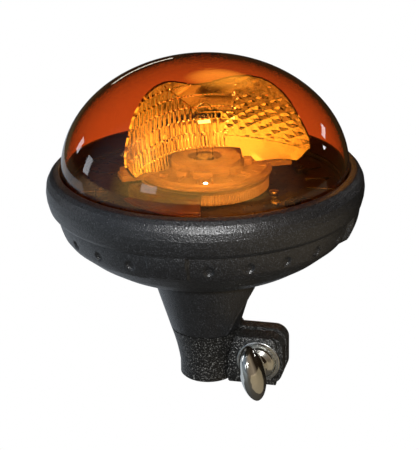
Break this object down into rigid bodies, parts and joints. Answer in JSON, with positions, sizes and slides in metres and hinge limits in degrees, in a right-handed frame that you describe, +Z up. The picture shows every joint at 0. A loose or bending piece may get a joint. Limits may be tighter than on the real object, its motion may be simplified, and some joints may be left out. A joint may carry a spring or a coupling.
{
  "type": "rotating warning beacon",
  "caption": "Amber domed rotating halogen warning beacon in a flexible black rubber boot, with a pole socket clamped by a wing screw.",
  "frame": {"origin": "centre of the pole socket's mouth", "axes": "+Z up the pole and through the dome's crown; the clamp lug points along +X and the wing screw comes out along -Y"},
  "size_m": [0.1818, 0.1818, 0.1925],
  "materials": {
    "black_rubber": "matt moulded rubber with a fine speckled grain",
    "black_nylon": "coarse spark-eroded moulded grain",
    "zinc_plate": "bright zinc plated steel",
    "polished_zinc": "cast zinc wing, polished and plated",
    "amber_dome": "clear amber acrylic, gloss",
    "dark_chassis": "black moulded plastic",
    "seal_rubber": "soft black rubber",
    "carrier_plastic": "phenolic moulding",
    "brass": "turned brass",
    "spring_steel": "drawn spring wire",
    "bronze": "sintered bronze",
    "lamp_metal": "nickel plated cap",
    "lamp_glass": "clear quartz glass",
    "motor_can": "zinc plated drawn can",
    "ferrite": "dark potting resin",
    "lead_jacket": "PVC insulation",
    "orange_moulding": "natural acetal moulding",
    "gear_acetal": "natural acetal, moulded teeth",
    "mirror_coat": "aluminised facets under lacquer"
  },
  "bodies": {
    "root": {"socket_clamp": "black_nylon", "clamp_nut": "zinc_plate", "clamp_pad": "black_nylon", "contact_carrier": "carrier_plastic", "earth_ring": "brass", "contact_terminal": "brass", "contact_spring": "spring_steel", "flex_neck": "black_rubber", "neck_leads": "lead_jacket"},
    "contact": {"contact_pin": "brass"},
    "washer": {"clamp_washer": "zinc_plate"},
    "screw": {"wing_screw": "polished_zinc"},
    "head": {"rubber_boot": "black_rubber", "neck_flange": "zinc_plate", "neck_bolts": "zinc_plate", "chassis_plate": "dark_chassis", "chassis_screws": "zinc_plate", "dome_seal": "seal_rubber", "bearing_bush": "bronze", "rotor_clip": "zinc_plate", "lamp_holder": "carrier_plastic", "bulb_cap": "lamp_metal", "bulb_glass": "lamp_glass", "bulb_clip": "zinc_plate", "motor_housing": "motor_can", "motor_cap": "carrier_plastic", "motor_bracket": "zinc_plate", "gear_cover": "dark_chassis", "terminal_block": "carrier_plastic", "suppressor": "ferrite", "head_leads": "lead_jacket"},
    "rotor": {"rotor_platform": "orange_moulding", "ring_gear": "gear_acetal", "reflector": "mirror_coat"},
    "pinion": {"pinion": "gear_acetal", "motor_shaft": "spring_steel"},
    "dome": {"dome_lens": "amber_dome"}
  },
  "joints": [
    {"name": "neck_flex", "type": "hinge", "parent": "root", "child": "head", "pos_m": [0, 0, 0.048], "axis": [1, 0, 0], "range_deg": [-20, 20], "stiffness_Nm_per_rad": 12, "deforming": ["flex_neck", "neck_leads"]},
    {"name": "wing_turn", "type": "hinge", "parent": "washer", "child": "screw", "pos_m": [0.0335, -0.015, 0.0162], "axis": [0, -1, 0], "range_deg": [0, 720]},
    {"name": "washer_slide", "type": "slide", "parent": "root", "child": "washer", "axis": [0, -1, 0], "range_m": [0, 0.0025]},
    {"name": "contact_press", "type": "slide", "parent": "root", "child": "contact", "axis": [0, 0, 1], "range_m": [0, 0.0025], "stiffness_N_per_m": 900, "springref_m": -0.0015, "deforming": ["contact_spring"]},
    {"name": "rotor_spin", "type": "hinge", "parent": "head", "child": "rotor", "pos_m": [0, 0, 0.12], "axis": [0, 0, 1], "continuous": true},
    {"name": "pinion_spin", "type": "hinge", "parent": "head", "child": "pinion", "pos_m": [-0.01368, -0.03759, 0.12], "axis": [0, 0, 1], "continuous": true},
    {"name": "dome_lift", "type": "slide", "parent": "head", "child": "dome", "axis": [0, 0, 1], "range_m": [0, 0.08]}
  ],
  "couplings": [
    {"joint": "pinion_spin", "follows": "rotor_spin", "ratio": -9},
    {"joint": "wing_turn", "follows": "washer_slide", "rad_per_m": 5026.5}
  ]
}
